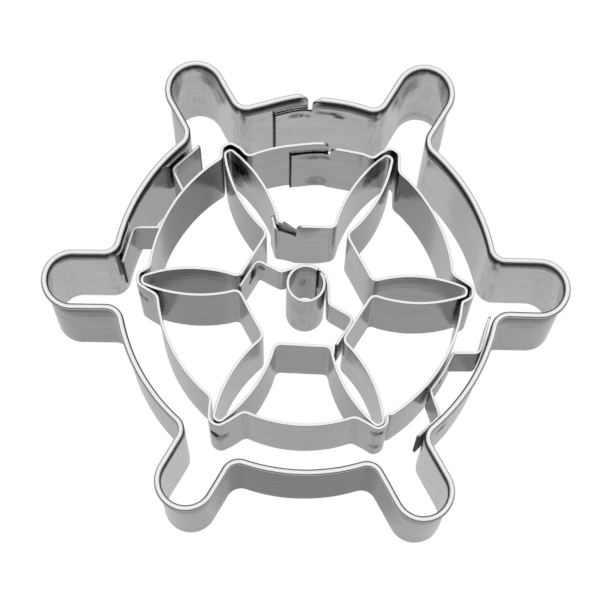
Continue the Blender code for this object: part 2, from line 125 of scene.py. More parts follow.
# Grey of the painted highlight on the bead's top and on the strips' top edges.
PAINTED_HIGHLIGHT_GREY = 0.76
SOOT_COLOUR = (0.012, 0.011, 0.010, 1.0)
SPARKLE_GREY = 0.85
STAIN_SCALE = 140.0
ROUGHER = {"stain": 0.04, "grain": 0.04, "painted_highlight": 0.12, "matt_painted_light": 0.5, "smudge": 0.15, "soot": 0.5}
LESS_METAL = {"soot": 0.8, "matt_painted_light": 0.7}
SPARKLE_HEIGHT = 3.0
GRAIN_STRENGTH = 0.6
GRAIN_HEIGHT = 0.02
# Each strip's grey is scaled to how light that strip looks, so it holds painted shade besides the steel's
# own tone: the ring, tube and straps deeper inside are greyer.
BAND_STEEL = 0.59
# How much duller the outer and the inner face are, partly finish and partly painted shade.
BAND_DULL_AND_SHADE = (0.42, 0.0)
# Ledge rows: the black on a tongue's top edge is partly weld burn and partly painted shade of the tight gap
# above it.
BAND_LEDGE = [(0.0, 5.8, (0.0, 1.2), (1.1, 0.0))]
BAND_MARKS = [
    ("smudge", -1, 0.9, (3.4, 16.1, 1.1, 0.9)),
    ("burn", -1, 0.9, (4.1, 15.7, 0.35, 0.6)),
    ("smudge", -1, 0.8, (5.1, 15.7, 0.5, 0.6)),
    ("smudge", -1, 1.1, (7.3, 17.7, 0.9, 0.6)),
    ("smudge", -1, 1.5, (8.6, 17.3, 1.0, 0.55)),
    ("smudge", -1, 1.4, (9.9, 16.9, 0.9, 0.6)),
    ("smudge", -1, 0.8, (262.8, 19.0, 0.4, 1.6)),
    ("smudge", -1, 0.8, (15.0, 18.9, 0.8, 1.1)),
    ("smudge", -1, 0.6, (60.5, 18.3, 0.4, 1.4)),
    ("burn", 1, 1.0, (100.6, 11.9, 0.75, 0.5)),
    ("smudge", 1, 0.9, (100.6, 11.9, 1.1, 1.2)),
    # Duller, darker regions of the wall: partly finish and partly painted shade.
    ("dull_and_shade", 1, 1.0, (134.0, 11.0, 12.0, 20.0)),
    ("dull_and_shade", 1, 1.0, (146.0, 11.0, 10.0, 20.0)),
    ("dull_and_shade", 1, 0.5, (200.0, 11.0, 7.0, 20.0)),
    ("dull_and_shade", -1, 0.3, (230.0, 11.0, 9.0, 20.0)),
    ("smudge", -1, 0.5, (254.6, 17.6, 1.6, 2.6)),
    ("smudge", -1, 0.45, (257.6, 16.6, 1.3, 1.8)),
    ("smudge", -1, 0.4, (248.6, 17.0, 0.8, 3.6)),
    ("smudge", -1, 0.5, (19.6, 16.6, 0.9, 2.0)),
    ("smudge", -1, 0.5, (23.4, 15.5, 1.5, 2.6)),
    ("smudge", -1, 0.5, (29.4, 18.5, 0.6, 3.0)),
    # A long grey band low on the inner wall.
    ("smudge", -1, 0.35, (25.0, 2.6, 3.6, 0.9)),
    ("smudge", 1, 0.4, (201.0, 19.2, 5.0, 0.8)),
    ("smudge", 1, 0.3, (197.5, 16.0, 3.0, 0.7)),
    ("smudge", 1, 0.3, (203.5, 13.2, 2.6, 0.8)),
    ("smudge", 1, 0.35, (81.5, 19.0, 3.6, 0.8)),
    ("smudge", 1, 0.3, (80.0, 14.5, 1.8, 0.8)),
    ("dull_and_shade", -1, 0.2, (52.0, 11.0, 5.0, 20.0)),
    ("dent", -1, 1.0, (8.5, 11.0, 0.9, 0.9)),
    ("dent", 1, 1.0, (100.6, 11.9, 1.0, 1.0)),
]


def polar(radius, degrees):
    """Point at a radius and an angle: radius times e to the power of i times the angle."""
    return radius * np.exp(1j * np.radians(degrees))


def arc(radius, start, end, centre=0j):
    """Arc with a point about every degree: centre plus polar(radius, angle)."""
    count = int(abs(end - start)) + 3
    return centre + polar(radius, np.linspace(start, end, count))


def way(value, start, end):
    """Share of the way from start to end that a value has gone, kept between 0 and 1."""
    return np.clip((value - start) / (end - start), 0.0, 1.0)


def smooth(share):
    """Smooth step of a share between 0 and 1: 3 s^2 - 2 s^3."""
    share = np.clip(share, 0.0, 1.0)
    return share * share * (3.0 - 2.0 * share)


def seam_arc(radius, drop, seam, start, end, layer):
    """One layer of a lap: its radius sinks by drop times the smooth step of (angle - root) / run."""
    angles = np.linspace(start, end, int(abs(end - start)) + 3)
    return polar(radius + layer - drop * smooth((angles - seam[2]) / SEAM_RUN), angles)


def handle(k, before, after):
    """Line round handle k: foot arc, half-round end, foot arc, turned to the handle's angle.

    A foot arc of radius f touches the wheel's arc of radius R and the handle's side at half width w,
    so its centre is at (sqrt((R + f)^2 - (w + f)^2), w + f) in the handle's own axes.
    """
    across = HANDLE_HALF_WIDTH + HANDLE_FOOT
    feet = np.sqrt((np.array([before, after]) + HANDLE_FOOT) ** 2 - across ** 2)
    spread = np.degrees(np.arctan2(across, feet))
    axis = FIRST_SPOKE - k * 360.0 / SPOKES + HANDLE_LEAN[k]
    end = HANDLE_REACH + HANDLE_STRETCH[k] - HANDLE_HALF_WIDTH
    line = np.concatenate([
        arc(HANDLE_FOOT, spread[0] - 180.0, -90.0, feet[0] + 1j * across),
        arc(HANDLE_HALF_WIDTH, 90.0, -90.0, end),
        arc(HANDLE_FOOT, 90.0, 180.0 - spread[1], feet[1] - 1j * across),
    ])
    return line * polar(1.0, axis), axis + spread[0], axis - spread[1]


def length_of(line):
    """Length of a line: the sum of its segments' lengths."""
    return np.abs(np.diff(line)).sum()


def band_line():
    """Centre line of the band, clockwise from the tongue's end, and the tongue's length."""
    radius = FELLOE_RADII[-1]
    after_seam = radius + LAP - BAND_SEAM_DROP
    tongue = seam_arc(radius, BAND_SEAM_DROP, BAND_SEAM, BAND_SEAM[0], BAND_SEAM[2], 0.0)
    parts = [tongue]
    leaving = BAND_SEAM[2]
    for k in range(SPOKES):
        after = after_seam if k == SPOKES - 1 else FELLOE_RADII[k]
        line, arriving, left_at = handle(k, FELLOE_RADII[k - 1], after)
        parts += [arc(FELLOE_RADII[k - 1], leaving, arriving), line]
        leaving = left_at
    parts.append(seam_arc(radius, BAND_SEAM_DROP, BAND_SEAM, leaving + 360.0, BAND_SEAM[1], LAP))
    return np.concatenate(parts), length_of(tongue)


def walk(line, extra=()):
    """Stations along a line, as distance, point and left normal.

    Distance is the running sum of the segments' lengths. The stations are evenly spaced, with the
    extra distances added, and the left normal is i times the unit tangent.
    """
    line = line[np.append(True, np.abs(np.diff(line)) > 1e-6)]
    run = np.append(0.0, np.cumsum(np.abs(np.diff(line))))
    even = np.linspace(0.0, run[-1], int(run[-1] / STATION) + 2)
    at = np.union1d(even, np.clip(extra, 0.0, run[-1]))
    at = at[np.append(True, np.diff(at) > NEAREST_STATIONS)]
    points = np.interp(at, run, line)
    tangent = np.gradient(points, at)
    return at, points, 1j * tangent / np.abs(tangent)


def corner_stations(length, tongue):
    """Distances that a lapped strip needs: its rounded corners at both ends and at the tongue's root."""
    near = END_CORNER * np.array(END_CORNER_SHARES)
    return np.concatenate([near, length - near, tongue + near, [tongue - NOTCH_SLANT, tongue]])


def rounded_end(distance, top, corner):
    """Top edge's height near an end: a quarter circle of radius c, top - c + sqrt(c^2 - short^2)."""
    short = np.clip(corner - distance, 0.0, corner)
    return top - corner + np.sqrt(corner ** 2 - short ** 2)


def lapped_top(distance, tongue, top, tongue_top):
    """Top edge's height along a strip that starts with a lower tongue, by distance from its start."""
    on_tongue = rounded_end(distance, tongue_top, TONGUE_CORNER)
    from_end = np.minimum(distance - tongue, distance[-1] - distance)
    beyond = rounded_end(from_end, top, END_CORNER)
    return np.where(distance < tongue - NOTCH_SLANT / 2.0, on_tongue, beyond)


def ripple(distance, height, seed):
    """Unevenness left by hand bending: a sum of three slow waves along and up the wall, from -1 to 1."""
    first = np.sin(0.31 * distance + 0.11 * height + seed)
    second = np.sin(0.83 * distance - 0.17 * height + 2.0 * seed)
    third = np.sin(1.71 * distance + 0.29 * height + 3.0 * seed)
    return 0.5 * first + 0.3 * second + 0.2 * third


def mark(distance, height, place):
    """Soft oval mark round a place on a strip, (distance along, height, half length, half height).

    With q = (distance away / half length)^2 + (height away / half height)^2, the mark is the
    smooth step from 0 at q = 1.6 to 1 at q = 0.4.
    """
    along, level, half_length, half_height = place
    q = ((distance - along) / half_length) ** 2 + ((height - level) / half_height) ** 2
    return smooth((1.6 - q) / 1.2)


def marked(distance, height, outer, table):
    """What a table of marks adds up to: for each kind, the strongest mark at each vertex.

    A row is (kind, side, strength, place). Side 1 is the strip's outer face and -1 its inner one. A
    burn is black, a smudge grey and a scuff sparkles. A matt patch is painted paler, which is painted
    light, and a duller place reflects less and is darker, partly its finish and partly painted shade.
    A dent moves the whole sheet away from its side.
    """
    kinds = ("burn", "smudge", "scuff", "matt_painted_light", "dull_and_shade", "dent")
    fields = {kind: np.zeros(height.shape) for kind in kinds}
    for kind, side, strength, place in table:
        here = strength * mark(distance, height, place)
        if kind == "dent":
            fields[kind] += side * here
        else:
            fields[kind] = np.maximum(fields[kind], here * (outer == (side > 0)))
    return fields


def band_section(distance):
    """Section of the band at each distance: across, height, and the painted highlight and painted shade on
    it.

    The inner side goes up to the bead, which is made of quarter ellipses r high about its crest. Its
    inner half width is c + h, so that it leaves the inner side upright, and its outer one is o, where h
    is half the sheet, c the crest's place across and p, how far the edge is rolled, scales c, o - h and
    r - h. It runs over the top and round to the slit, in which the sheet's edge comes back to the
    wall, and the outer side goes down. Under the bead the wall bows outwards by the square of how far
    a height is up the neck, and a bell-shaped crease runs below. The bead gets a painted highlight on
    top, and painted shade darkens its neck, its outer flank and the outer wall under it.
    """
    top = lapped_top(distance, band_tongue, BAND_HEIGHT, BAND_TONGUE_TOP)[:, None]
    from_end = np.minimum(distance - band_tongue, distance[-1] - distance)[:, None]
    rolled = smooth((from_end - BEAD_ROLL[0]) / (BEAD_ROLL[1] - BEAD_ROLL[0]))
    rows = np.concatenate([np.linspace(*span) for span in WALL_ROWS])
    half = SHEET / 2.0
    radius = half + (BEAD_RADIUS - half) * rolled
    crest = BEAD_CREST * rolled
    inner, outer = half + crest, half + (BEAD_OUTER - half) * rolled
    slit = BEAD_SLIT[0] * rolled + BEAD_LEAST
    short = half + slit - crest
    stop = -np.arccos(np.clip(short / np.where(short > 0.0, outer, inner), -1.0, 1.0))
    bead = np.pi + (stop - np.pi) * np.linspace(0.0, 1.0, BEAD_ROWS)
    bead_across = crest + np.where(np.cos(bead) > 0.0, outer, inner) * np.cos(bead)
    bead_height = top - radius + radius * np.sin(bead)
    deep = bead_height[:, -1:] + BEAD_SLIT[1] * rolled + BEAD_LEAST
    wall_in = bead_height[:, :1] * rows
    wall_out = bead_height[:, -1:] * rows[::-1]
    turn = np.radians(np.linspace(0.0, -90.0, CORNER_ROWS))
    ones = np.ones_like(top)
    foot_across = (half - EDGE_ROUND + EDGE_ROUND * np.cos(turn)) * ones
    foot_height = (EDGE_ROUND + EDGE_ROUND * np.sin(turn)) * ones
    across = np.hstack([
        -foot_across[:, ::-1], np.full_like(wall_in, -half), bead_across, half + slit,
        half * ones, half * ones, np.full_like(wall_out, half), foot_across,
    ])
    height = np.hstack([
        foot_height[:, ::-1], wall_in, bead_height, deep, deep, bead_height[:, -1:], wall_out, foot_height,
    ])
    drop = top - height
    inside, on_bead = across < 0.0, drop < 2.0 * BEAD_RADIUS
    rise = way(drop, *NECK_DROPS)
    starting = np.clip((drop - 2.0 * BEAD_RADIUS) / NECK_START, 0.0, 1.0)
    bow = rise ** 2 * np.where(inside, drop > NECK_DROPS[1] - NECK_MARGIN, starting)
    crease = np.exp(-((drop - CREASE_DROP) / CREASE_WIDTH) ** 2)
    across = across + (NECK_BOW * bow - CREASE_DEPTH * crease) * rolled
    # Painted shade under the bead's neck, on its outer flank and down the outer wall, and a painted
    # highlight on the bead.
    neck = way(drop, *NECK_FADE) * inside
    flank = way(drop, *FLANK_FADE) * ~inside
    painted_highlight = rolled ** 2 * on_bead * (1.0 - neck) * (1.0 - FLANK_HIGHLIGHT_DIMMING * flank)
    painted_highlight = np.maximum(painted_highlight, (1.0 - rolled) * (drop < EDGE_ROUND) * (from_end > 0.0))
    under = way(drop, *UNDER_DROPS) * flank
    shades = [NECK_SHADE * rise * neck, FLANK_SHADE * flank * on_bead, UNDER_SHADE * under]
    painted_shade = np.maximum(rolled * np.max(shades, axis=0), FOOT_SHADE * (height < EDGE_ROUND))
    return across, height, painted_highlight, painted_shade


def carry(name, distance, points, normals, across, height, fields):
    """Mesh of a cross-section carried along a line: (line + normal * across, height) on a grid.

    Rows of the grid are stations and columns go once round the section: up the inner side, over the
    top and down the outer side. Both ends are closed by one face each. The UV map holds distance
    along and place round in millimetres, and each field becomes a number stored at the vertices.
    """
    plan = points[:, None] + normals[:, None] * across + wheel_centre
    rows, columns = plan.shape
    vertices = np.stack([plan.real, plan.imag, height], axis=-1) * MM
    index = np.arange(rows * columns).reshape(rows, columns)
    ahead = np.roll(index, -1, axis=1)
    quads = np.stack([index[:-1], index[1:], ahead[1:], ahead[:-1]], axis=-1).reshape(-1, 4)
    mesh = bpy.data.meshes.new(name)
    faces = quads.tolist() + [index[0].tolist(), index[-1, ::-1].tolist()]
    mesh.from_pydata(vertices.reshape(-1, 3), [], faces)
    u = np.broadcast_to(distance[:, None], plan.shape)
    loop = rows // 2
    steps = np.hypot(np.diff(across[loop]), np.diff(height[loop]))
    v = np.broadcast_to(np.append(0.0, np.cumsum(np.append(steps, SHEET))), (rows, columns + 1))
    corners = [(u[:-1], v[:-1, :-1]), (u[1:], v[1:, :-1]), (u[1:], v[1:, 1:]), (u[:-1], v[:-1, 1:])]
    uv = np.stack([np.stack(pair, axis=-1) for pair in corners], axis=-2).reshape(-1, 2)
    caps = [np.stack([u[0], v[0, :-1]], axis=-1), np.stack([u[-1], v[-1, :-1]], axis=-1)[::-1]]
    layer = mesh.uv_layers.new(name="sheet")
    layer.uv.foreach_set("vector", np.concatenate([uv] + caps).ravel())
    for field, values in fields.items():
        attribute = mesh.attributes.new(field, "FLOAT", "POINT")
        attribute.data.foreach_set("value", np.broadcast_to(values, plan.shape).ravel())
    mesh.shade_smooth()
    mesh.set_sharp_from_angle(angle=np.radians(SHARP_ANGLE))
    piece = bpy.data.objects.new(name, mesh)
    bpy.context.scene.collection.objects.link(piece)
    return piece


def curvature(distance, points):
    """How tightly a line bends: the change of its heading for each millimetre."""
    heading = np.unwrap(np.angle(np.gradient(points, distance)))
    return np.abs(np.gradient(heading, distance))


def dress(piece, node, material):
    """Give a piece its material and put it in the place of its CAD node."""
    piece.data.materials.append(material)
    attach(piece, "root")
    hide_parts(node)


def ledge_fields(distance, height, top, outer, ledge):
    """Burn and scuff along a tongue's top edge, from rows (start, end, burn, scuff).

    Each is given as a pair for the edge's outer and inner half, and fades in and out at its ends. The
    black stands partly for weld burn and partly for painted shade in the tight gap above the edge.
    """
    burn, scuff = np.zeros(height.shape), np.zeros(height.shape)
    for start, end, burns, scuffs in ledge:
        here = smooth((distance - start) / LEDGE_FADE) * smooth((end - distance) / LEDGE_FADE)
        here = here * (height > top - LEDGE_DEPTH)
        burn = np.maximum(burn, here * np.where(outer, *burns))
        scuff = np.maximum(scuff, here * np.where(outer, *scuffs))
    return burn, scuff


def build_strip(name, node, line, extra, section_of, table, dull_and_shade, seed, material,
                lean=None, tongue=0.0, ledge=()):
    """One strip on edge, as a section carried along a line.

    The sheet is rippled, dented where its table says so, and moved sideways by lean at its foot. The
    pair of dullness says how much duller its outer and its inner face are, partly their finish and
    partly painted shade. A tongue is pressed against the layer it lies under, and its top edge is
    burnt and scuffed as its ledge rows say, its black partly weld burn and partly painted shade of the
    tight gap above it. Cut ends and the tongue's end get painted shade, and bend is how much painted
    reflection streaks the sheet, which grows with how tightly the line bends.
    """
    distance, points, normals = walk(line, extra)
    across, height, painted_highlight, painted_shade = section_of(distance)
    distance = distance[:, None]
    top = height.max(axis=1)[:, None]
    outer = across > 0.0
    fields = marked(distance, height, outer, table)
    if tongue:
        burn, scuff = ledge_fields(distance, height, top, outer, ledge)
        fields["burn"] = np.maximum(fields["burn"], burn)
        fields["scuff"] = np.maximum(fields["scuff"], scuff)
        painted_highlight = painted_highlight * (distance > tongue)
        # Painted shade at the tongue's end, in the seam's gap.
        painted_shade = np.maximum(painted_shade, smooth((TONGUE_END_SHADE[0] - distance) / TONGUE_END_SHADE[1]))
        across = across + TONGUE_PRESS * smooth((tongue - distance) / END_CORNER)
    # Painted shade at both cut ends.
    painted_shade = np.maximum(painted_shade, CUT_SHADE * (np.minimum(distance, distance[-1] - distance) < CUT_REACH))
    wall = 1.0 - np.maximum(painted_highlight, painted_shade)
    # Duller faces: partly the sheet's finish and partly painted shade.
    fields["dull_and_shade"] = wall * np.maximum(fields["dull_and_shade"], np.where(outer, *dull_and_shade))
    fields["painted_highlight"] = painted_highlight
    fields["painted_shade"] = painted_shade
    # Painted reflection: darker streaks where the line bends tightly.
    tightness = curvature(distance[:, 0], points)[:, None]
    fields["bend"] = wall * smooth(tightness * BEND_REFLECTION_CURVE[0] - BEND_REFLECTION_CURVE[1])
    across = across + RIPPLE * ripple(distance, height, seed) - WELD_DENT * fields.pop("dent")
    if lean:
        foot = 1.0 - (height - height.min()) / (top - height.min())
        across = across + lean(points)[:, None] * foot
    dress(carry(name, distance[:, 0], points, normals, across, height, fields), node, material)


def node_group(name, inputs, outputs):
    """New shader node group with the named sockets, and its group input and output nodes."""
    group = bpy.data.node_groups.new(name, "ShaderNodeTree")
    for label, kind in inputs:
        group.interface.new_socket(label, in_out="INPUT", socket_type=kind)
    for label, kind in outputs:
        group.interface.new_socket(label, in_out="OUTPUT", socket_type=kind)
    return group, group.nodes.new("NodeGroupInput").outputs, group.nodes.new("NodeGroupOutput").inputs


def add(tree, kind, links=(), **settings):
    """New node with its settings, and its inputs linked to or set from (socket, source or value)."""
    node = tree.nodes.new(kind)
    for key, value in settings.items():
        setattr(node, key, value)
    for socket, source in links:
        if isinstance(source, bpy.types.NodeSocket):
            tree.links.new(source, node.inputs[socket])
        else:
            node.inputs[socket].default_value = source
    return node


def math_of(tree, operation, *terms):
    """Math node's result."""
    return add(tree, "ShaderNodeMath", enumerate(terms), operation=operation).outputs[0]


def range_of(tree, value, low, high, to_low, to_high):
    """Map Range node's result, clamped."""
    links = zip(("Value", "From Min", "From Max", "To Min", "To Max"), (value, low, high, to_low, to_high))
    return add(tree, "ShaderNodeMapRange", links).outputs["Result"]


def mix_of(tree, factor, first, second):
    """Mix of two colours."""
    return add(tree, "ShaderNodeMix", [(0, factor), (6, first), (7, second)], data_type="RGBA").outputs[2]


def scaled(tree, vector, factors):
    """Vector multiplied by factors, one for each axis."""
    return add(tree, "ShaderNodeVectorMath", [(0, vector), (1, factors)], operation="MULTIPLY").outputs[0]


def grey_of(level):
    """Opaque grey of a level."""
    return (level, level, level, 1.0)


def noise_of(tree, vector, scale, detail, roughness=0.5):
    """Noise texture's value."""
    links = [("Vector", vector), ("Scale", scale), ("Detail", detail), ("Roughness", roughness)]
    return add(tree, "ShaderNodeTexNoise", links).outputs["Fac"]


def make_rolled_grain():
    """Group: what the mill rolls and handling leave on the sheet, as height and shade.

    Fine lines along the strip, a fine mottle, and broad wavy bands.
    """
    tree, given, result = node_group(
        "rolled_grain", [("UV", "NodeSocketVector")],
        [("Height", "NodeSocketFloat"), ("Shade", "NodeSocketFloat")],
    )
    drawn_out = scaled(tree, given["UV"], (0.05, 1.0, 1.0))
    lines = noise_of(tree, drawn_out, scale=2.2, detail=3.0, roughness=0.7)
    mottle = noise_of(tree, given["UV"], scale=2.4, detail=4.0, roughness=0.65)
    wavy = scaled(tree, given["UV"], (0.3, 1.0, 1.0))
    broad = noise_of(tree, wavy, scale=0.45, detail=2.0)
    height = math_of(tree, "MULTIPLY_ADD", broad, 3.0, math_of(tree, "MULTIPLY_ADD", mottle, 0.7, lines))
    shade = math_of(tree, "MULTIPLY_ADD", mottle, 0.55, math_of(tree, "MULTIPLY", lines, 0.2))
    shade = math_of(tree, "MULTIPLY_ADD", broad, 0.25, shade)
    tree.links.new(height, result["Height"])
    tree.links.new(shade, result["Shade"])
    return tree


def make_bend_reflections():
    """Group: painted reflection, darker upright streaks at the sheet's bends, strongest in the tightest
    bends.
    """
    tree, given, result = node_group(
        "bend_reflections", [("UV", "NodeSocketVector"), ("Bend", "NodeSocketFloat")],
        [("Mask", "NodeSocketFloat")],
    )
    upright = scaled(tree, given["UV"], (1.0, 0.09, 1.0))
    noise = noise_of(tree, upright, scale=2.2, detail=3.0, roughness=0.55)
    streak = range_of(tree, noise, 0.45, 0.62, 0.0, 1.0)
    tree.links.new(math_of(tree, "MULTIPLY", streak, given["Bend"]), result["Mask"])
    return tree


def make_weld_marks():
    """Group: what spot welding leaves, as masks of black burn, grey smudge and sparkling scuff."""
    tree, given, result = node_group(
        "weld_marks",
        [("Place", "NodeSocketVector"), ("Burn", "NodeSocketFloat"), ("Smudge", "NodeSocketFloat"),
         ("Scuff", "NodeSocketFloat")],
        [(kind, "NodeSocketFloat") for kind in ("Black", "Grey", "Bright")],
    )
    place = scaled(tree, given["Place"], (1.0, 1.0, 0.4))
    ragged = noise_of(tree, place, scale=2600.0, detail=4.0, roughness=0.6)
    cloud = noise_of(tree, place, scale=900.0, detail=4.0, roughness=0.65)
    burn = math_of(tree, "ADD", given["Burn"], ragged)
    tree.links.new(range_of(tree, burn, 1.1, 1.25, 0.0, 1.0), result["Black"])
    smudge = range_of(tree, cloud, 0.3, 0.62, 0.25, 1.0)
    tree.links.new(math_of(tree, "MULTIPLY", smudge, given["Smudge"]), result["Grey"])
    sparkle = noise_of(tree, place, scale=4800.0, detail=1.0)
    scuff = math_of(tree, "ADD", given["Scuff"], sparkle)
    tree.links.new(range_of(tree, scuff, 1.3, 1.45, 0.0, 1.0), result["Bright"])
    return tree


def steel(name, grey, roughness):
    """Satin stainless sheet of a grey level: rolled grain, duller faces with painted shade, painted
    reflection streaks at bends, weld marks.

    Each layer of colour lies over the one before it, among them a painted highlight, painted shade and
    a matt patch painted paler. The tint is what the steel reflects at a glance, lowered for duller places,
    painted shade and smudges, and grain and stains make it rougher, as do the matt patches and soot,
    which also look less like metal.
    """
    material = bpy.data.materials.new(name)
    material.use_nodes = True
    tree = material.node_tree
    shader = tree.nodes["Principled BSDF"].inputs
    place = add(tree, "ShaderNodeTexCoord").outputs["Object"]
    uv = add(tree, "ShaderNodeUVMap", uv_map="sheet").outputs["UV"]
    fields = ("burn", "smudge", "scuff", "matt_painted_light", "dull_and_shade", "painted_highlight", "painted_shade", "bend")
    field = {key: add(tree, "ShaderNodeAttribute", attribute_name=key).outputs["Fac"] for key in fields}
    rolled = add(tree, "ShaderNodeGroup", node_tree=ROLLED_GRAIN)
    tree.links.new(uv, rolled.inputs["UV"])
    bends = add(tree, "ShaderNodeGroup", node_tree=BEND_REFLECTIONS)
    tree.links.new(uv, bends.inputs["UV"])
    tree.links.new(field["bend"], bends.inputs["Bend"])
    welds = add(tree, "ShaderNodeGroup", node_tree=WELD_MARKS)
    tree.links.new(place, welds.inputs["Place"])
    for socket in ("Burn", "Smudge", "Scuff"):
        tree.links.new(field[socket.lower()], welds.inputs[socket])
    rolled, bends, welds = rolled.outputs, bends.outputs, welds.outputs

    def tone(factor):
        """The sheet's grey made lighter or darker by a factor."""
        return grey_of(min(1.0, factor * grey))

    def share_of(kind, mask):
        """A mask at the share that its kind has."""
        return math_of(tree, "MULTIPLY", mask, SHARES[kind])

    stain = range_of(tree, noise_of(tree, place, STAIN_SCALE, detail=3.0), 0.35, 0.65, 0.0, 1.0)
    grain = range_of(tree, rolled["Shade"], 0.38, 0.62, 0.0, 1.0)
    shade = mix_of(tree, grain, tone(GRAIN_TONES[0]), tone(GRAIN_TONES[1]))
    shade = mix_of(tree, share_of("stain", stain), shade, tone(TONES["stain"]))
    dulled_and_shaded = mix_of(tree, 1.0, shade, grey_of(DULL_AND_SHADE_GREY))
    dulled_and_shaded.node.blend_type = "MULTIPLY"
    layers = [
        (field["dull_and_shade"], dulled_and_shaded),
        (share_of("bend", bends["Mask"]), tone(TONES["bend"])),
        (field["painted_highlight"], grey_of(PAINTED_HIGHLIGHT_GREY)),
        (field["matt_painted_light"], tone(TONES["matt_painted_light"])),
        (field["painted_shade"], tone(TONES["painted_shade"])),
        (share_of("smudge", welds["Grey"]), tone(TONES["smudge"])),
        (welds["Black"], SOOT_COLOUR),
        (welds["Bright"], grey_of(SPARKLE_GREY)),
    ]
    for mask, colour in layers:
        shade = mix_of(tree, mask, shade, colour)
    tree.links.new(shade, shader["Base Color"])
    masks = {"grain": rolled["Shade"], "painted_highlight": field["painted_highlight"], "matt_painted_light": field["matt_painted_light"],
             "dull_and_shade": field["dull_and_shade"], "painted_shade": field["painted_shade"], "smudge": welds["Grey"],
             "soot": math_of(tree, "SUBTRACT", welds["Black"], welds["Bright"])}
    tint = grey_of(1.0)
    for kind in ("dull_and_shade", "painted_shade", "smudge"):
        tint = mix_of(tree, masks[kind], tint, grey_of(TINTS[kind]))
    tree.links.new(tint, shader["Specular Tint"])
    rough = range_of(tree, stain, 0.0, 1.0, roughness, roughness + ROUGHER["stain"])
    for kind in ("grain", "painted_highlight", "matt_painted_light", "smudge", "soot"):
        rough = math_of(tree, "MULTIPLY_ADD", masks[kind], ROUGHER[kind], rough)
    tree.links.new(rough, shader["Roughness"])
    metal = 1.0
    for kind in ("soot", "matt_painted_light"):
        metal = math_of(tree, "MULTIPLY_ADD", masks[kind], -LESS_METAL[kind], metal)
    tree.links.new(metal, shader["Metallic"])
    height = math_of(tree, "MULTIPLY_ADD", welds["Bright"], SPARKLE_HEIGHT, rolled["Height"])
    bump = add(tree, "ShaderNodeBump", [
        ("Strength", GRAIN_STRENGTH), ("Distance", GRAIN_HEIGHT * MM), ("Height", height),
    ])
    tree.links.new(bump.outputs["Normal"], shader["Normal"])
    return material


ROLLED_GRAIN = make_rolled_grain()
BEND_REFLECTIONS = make_bend_reflections()
WELD_MARKS = make_weld_marks()
band, band_tongue = band_line()
box_low, box_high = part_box("outer_cutting_band")
box_middle = complex(box_low[0] + box_high[0], box_low[1] + box_high[1]) / 2.0 / MM
line_middle = complex(band.real.min() + band.real.max(), band.imag.min() + band.imag.max()) / 2.0
wheel_centre = box_middle - line_middle
build_strip("cutting_band", "outer_cutting_band", band, corner_stations(length_of(band), band_tongue),
            band_section, BAND_MARKS, BAND_DULL_AND_SHADE, 1.0, steel("band_steel", BAND_STEEL, 0.06),
            tongue=band_tongue, ledge=BAND_LEDGE)

# Inner ring: a lower strip bent to a ring that embosses the wheel's felloe, with a bump at each
# spoke. Its ends lap at the top like the band's, and the under one is again a lower tongue. It hangs
# 3 mm above the table, spot-welded to the spokes at the bumps and to the two side straps.
SPOKE_LEAN = [-1.05, -1.15, -1.6, -1.7, -1.0, 0.35]
EMBOSS_DEPTH = 3.0
RING_TOP = 21.1
RING_RADII = [21.10, 22.55, 20.55, 21.30, 22.55, 20.80]
RING_SEAM = (97.5, 82.0, 80.9)
RING_SEAM_DROP = 0.45
RING_SPREAD = [(0.0, 0.5), (0.5, 0.0)] + [(0.0, 0.0)] * 4
RING_TONGUE_TOP = 17.6
BUMP_REACH = 23.95
BUMP_TURN = [-0.75, -0.5, 0.0, 0.0, 0.0, -0.35]
BUMP_STRETCH = [0.0, 0.0, -0.5, 0.2, 0.15, 0.0]
BUMP_TIP_HALF = 0.75
BUMP_TIP_RADIUS = 1.0
BUMP_WAIST_HALF = 1.6
BUMP_WAIST_DROP = 1.45
BUMP_FOOT_HALF = 1.34
BUMP_FOOT_PINCH = [(0.4, 0.0)] + [(0.0, 0.0)] * 4 + [(0.0, 0.6)]
BUMP_FLARE = 0.4
BUMP_FOOT_RADIUS = 1.5
BUMP_MARGIN = 4.0
CORNER_REACH = 0.45
ARC_POINTS = 9
STRIP_ROWS = (0.06, 0.94, 24)
RING_STEEL = 0.47
RING_DULL_AND_SHADE = (0.2, 0.1)
RING_LEDGE = [(0.0, 6.0, (0.85, 0.15), (0.0, 0.0))]
RING_MARKS = [
    ("burn", 1, 1.0, (91.0, 14.5, 0.75, 1.9)),
    ("smudge", 1, 0.8, (90.2, 13.0, 1.2, 1.6)),
    ("burn", 1, 0.9, (66.0, 17.7, 0.4, 1.2)),
    ("smudge", 1, 0.9, (66.6, 17.6, 0.9, 1.2)),
    ("smudge", 1, 0.8, (66.6, 8.4, 0.9, 1.0)),
    ("smudge", 1, 1.0, (115.4, 16.2, 0.25, 1.5)),
    ("smudge", 1, 1.0, (114.8, 15.4, 0.25, 1.5)),
    ("smudge", 1, 1.0, (114.2, 15.2, 0.3, 1.2)),
    ("smudge", 1, 0.7, (40.8, 12.7, 0.4, 1.3)),
    ("smudge", -1, 0.8, (3.8, 16.7, 2.4, 0.8)),
    ("smudge", -1, 0.6, (4.0, 5.5, 1.6, 2.0)),
    # Duller, darker regions of the inner face: partly finish and partly painted shade.
    ("dull_and_shade", -1, 0.75, (131.0, 12.0, 7.0, 20.0)),
    ("dull_and_shade", -1, 0.5, (23.0, 12.0, 6.0, 20.0)),
]


